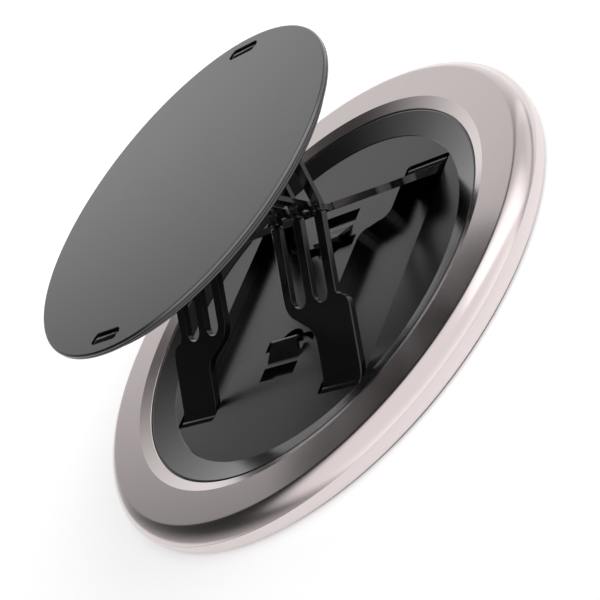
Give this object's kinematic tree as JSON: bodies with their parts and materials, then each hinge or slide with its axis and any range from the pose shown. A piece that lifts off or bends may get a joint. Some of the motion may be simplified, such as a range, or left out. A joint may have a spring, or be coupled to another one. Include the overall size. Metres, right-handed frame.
{
  "type": "phone grip",
  "caption": "Round magnetic phone grip that folds flat: a metal ring base with a recessed floor and a thin disc raised on crossed slotted arms.",
  "frame": {"origin": "centre of the phone-side face", "axes": "+Z out of the phone-side face towards the raised disc; +Y towards the rear pair of feet, along the line of the disc's two slots; +X across the arms"},
  "size_m": [0.0562, 0.0562, 0.0193],
  "materials": {
    "pad": "matte silicone",
    "back": "matte black",
    "ring_lower": "satin anodised, very pale pink",
    "ring_trim": "satin anodised, pinkish grey",
    "magnet": "nickel-plated",
    "yoke": "plain steel",
    "plate": "semi-gloss dark grey",
    "liner": "satin black",
    "rod": "bright steel",
    "arm": "glossy black",
    "carrier": "satin black",
    "skin": "satin dark grey"
  },
  "bodies": {
    "base": {"phone_pad": "pad", "back_sheet": "back", "lower_ring": "ring_lower", "magnet_array": "magnet", "steel_yoke": "yoke", "trim_ring": "ring_trim", "spacer_plate": "plate", "floor_plate": "plate", "recess_liner": "liner", "foot_rod_front_right": "rod", "foot_rod_front_left": "rod", "foot_rod_rear_right": "rod", "foot_rod_rear_left": "rod"},
    "disc": {"disc_carrier": "carrier", "disc_skin": "skin"},
    "leg_front_right": {"leg_front_right": "arm", "knee_pins_front_right": "rod"},
    "link_front_right": {"link_front_right": "arm"},
    "leg_front_left": {"leg_front_left": "arm", "knee_pins_front_left": "rod"},
    "link_front_left": {"link_front_left": "arm"},
    "leg_rear_right": {"leg_rear_right": "arm", "knee_pins_rear_right": "rod"},
    "link_rear_right": {"link_rear_right": "arm"},
    "leg_rear_left": {"leg_rear_left": "arm", "knee_pins_rear_left": "rod"},
    "link_rear_left": {"link_rear_left": "arm"}
  },
  "joints": [
    {"name": "disc_slide", "type": "slide", "parent": "base", "child": "disc", "axis": [0, 0, 1], "range_m": [-0.01605, 0]},
    {"name": "foot_hinge_front_right", "type": "hinge", "parent": "base", "child": "leg_front_right", "pos_m": [0, -0.01275, 0.00109], "axis": [1, 0, 0], "range_deg": [-33.02, 0]},
    {"name": "knee_hinge_front_right", "type": "hinge", "parent": "leg_front_right", "child": "link_front_right", "pos_m": [0, 0.00022, 0.01097], "axis": [1, 0, 0], "range_deg": [-30.22, 0]},
    {"name": "foot_hinge_front_left", "type": "hinge", "parent": "base", "child": "leg_front_left", "pos_m": [0, -0.01275, 0.00109], "axis": [1, 0, 0], "range_deg": [-33.02, 0]},
    {"name": "knee_hinge_front_left", "type": "hinge", "parent": "leg_front_left", "child": "link_front_left", "pos_m": [0, 0.00022, 0.01097], "axis": [1, 0, 0], "range_deg": [-30.22, 0]},
    {"name": "foot_hinge_rear_right", "type": "hinge", "parent": "base", "child": "leg_rear_right", "pos_m": [0, 0.01275, 0.00109], "axis": [-1, 0, 0], "range_deg": [-32.33, 0]},
    {"name": "knee_hinge_rear_right", "type": "hinge", "parent": "leg_rear_right", "child": "link_rear_right", "pos_m": [0, 0.00184, 0.00938], "axis": [-1, 0, 0], "range_deg": [-30.21, 0]},
    {"name": "foot_hinge_rear_left", "type": "hinge", "parent": "base", "child": "leg_rear_left", "pos_m": [0, 0.01275, 0.00109], "axis": [-1, 0, 0], "range_deg": [-32.33, 0]},
    {"name": "knee_hinge_rear_left", "type": "hinge", "parent": "leg_rear_left", "child": "link_rear_left", "pos_m": [0, 0.00184, 0.00938], "axis": [-1, 0, 0], "range_deg": [-30.21, 0]}
  ],
  "couplings": [
    {"joint": "foot_hinge_front_right", "follows": "disc_slide", "rad_per_m": 35.885},
    {"joint": "knee_hinge_front_right", "follows": "disc_slide", "rad_per_m": 32.84},
    {"joint": "foot_hinge_front_left", "follows": "disc_slide", "rad_per_m": 35.885},
    {"joint": "knee_hinge_front_left", "follows": "disc_slide", "rad_per_m": 32.84},
    {"joint": "foot_hinge_rear_right", "follows": "disc_slide", "rad_per_m": 35.135},
    {"joint": "knee_hinge_rear_right", "follows": "disc_slide", "rad_per_m": 32.83},
    {"joint": "foot_hinge_rear_left", "follows": "disc_slide", "rad_per_m": 35.135},
    {"joint": "knee_hinge_rear_left", "follows": "disc_slide", "rad_per_m": 32.83}
  ]
}
